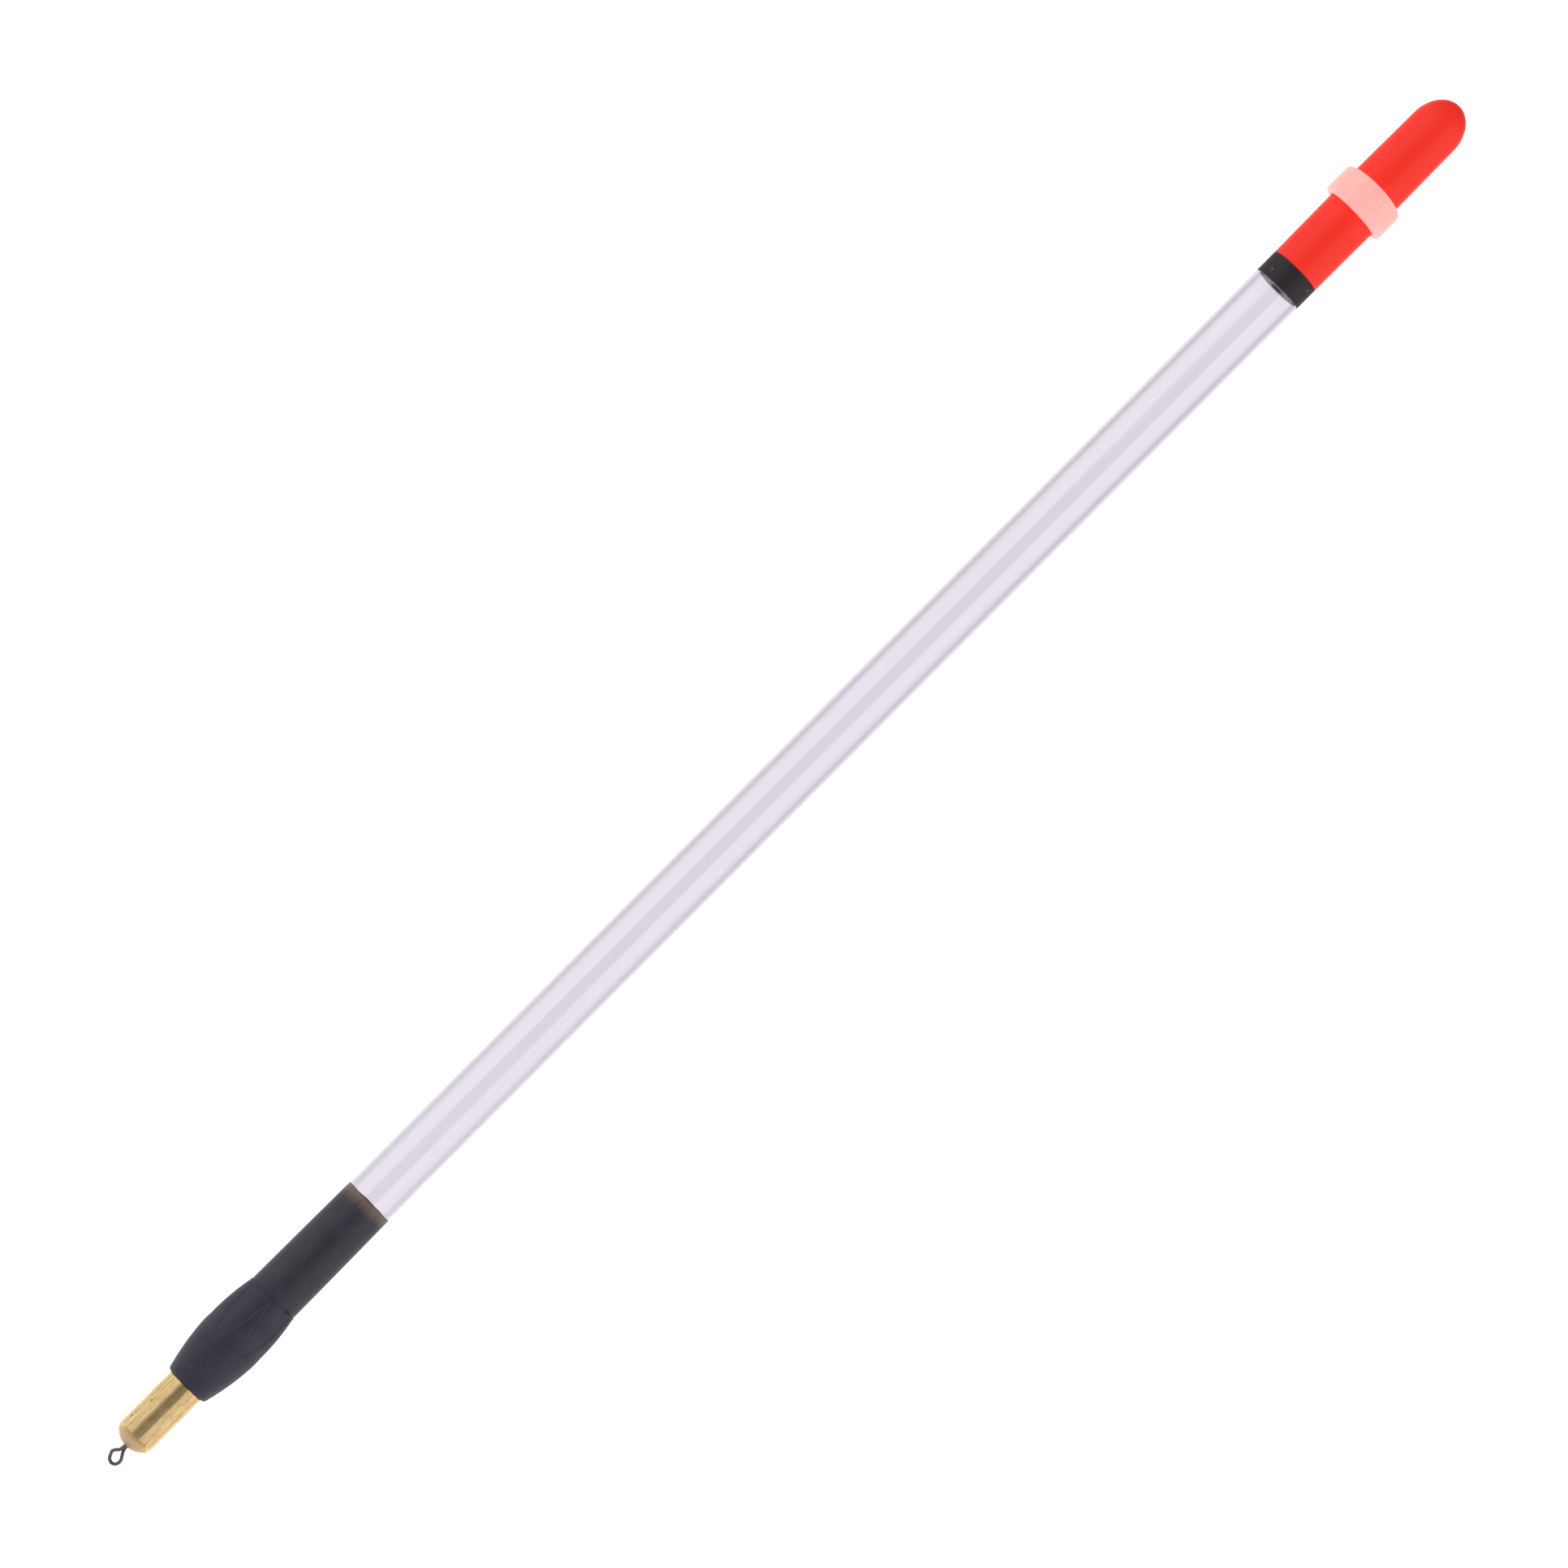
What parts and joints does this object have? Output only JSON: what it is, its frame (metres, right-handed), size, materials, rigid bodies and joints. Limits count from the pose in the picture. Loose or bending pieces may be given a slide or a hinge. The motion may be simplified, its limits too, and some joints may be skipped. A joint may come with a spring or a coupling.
{
  "type": "bobber float",
  "caption": "Slim clear-tube fishing float with a swivelling wire line eye, turned brass weight, soft dark base bulb, red sight tip and a sliding silicone ring.",
  "frame": {"origin": "middle of the wire line eye's opening, on the float's axis", "axes": "+Z along the float's axis from the line eye to the sight tip; +X across the line eye's opening; +Y through it"},
  "size_m": [0.0106, 0.0106, 0.2774],
  "materials": {
    "steel_wire": "drawn stainless wire",
    "barrel_brass": "plated brass",
    "turned_brass": "turned and brushed brass",
    "bulb_rubber": "soft matte rubber",
    "sleeve_plastic": "thin soft sleeve, satin",
    "plug_plastic": "moulded",
    "clear_plastic": "clear extruded tube",
    "band_film": "matte black film",
    "red_plastic": "fluorescent red, satin",
    "silicone": "translucent silicone"
  },
  "bodies": {
    "float_body": {"swivel_barrel": "barrel_brass", "brass_weight": "turned_brass", "base_bulb": "bulb_rubber", "lower_sleeve": "sleeve_plastic", "lower_plug": "plug_plastic", "float_tube": "clear_plastic", "top_plug": "plug_plastic", "top_band": "band_film"},
    "eye": {"line_eye": "steel_wire"},
    "tip": {"sight_tip": "red_plastic"},
    "ring": {"tip_ring": "silicone"}
  },
  "joints": [
    {"name": "eye_swivel", "type": "hinge", "parent": "float_body", "child": "eye", "pos_m": [0, 0, 0], "axis": [0, 0, 1], "continuous": true},
    {"name": "tip_pull", "type": "slide", "parent": "float_body", "child": "tip", "axis": [0, 0, 1], "range_m": [0, 0.01]},
    {"name": "ring_slide", "type": "slide", "parent": "tip", "child": "ring", "axis": [0, 0, 1], "range_m": [-0.0104, 0.0118]}
  ]
}
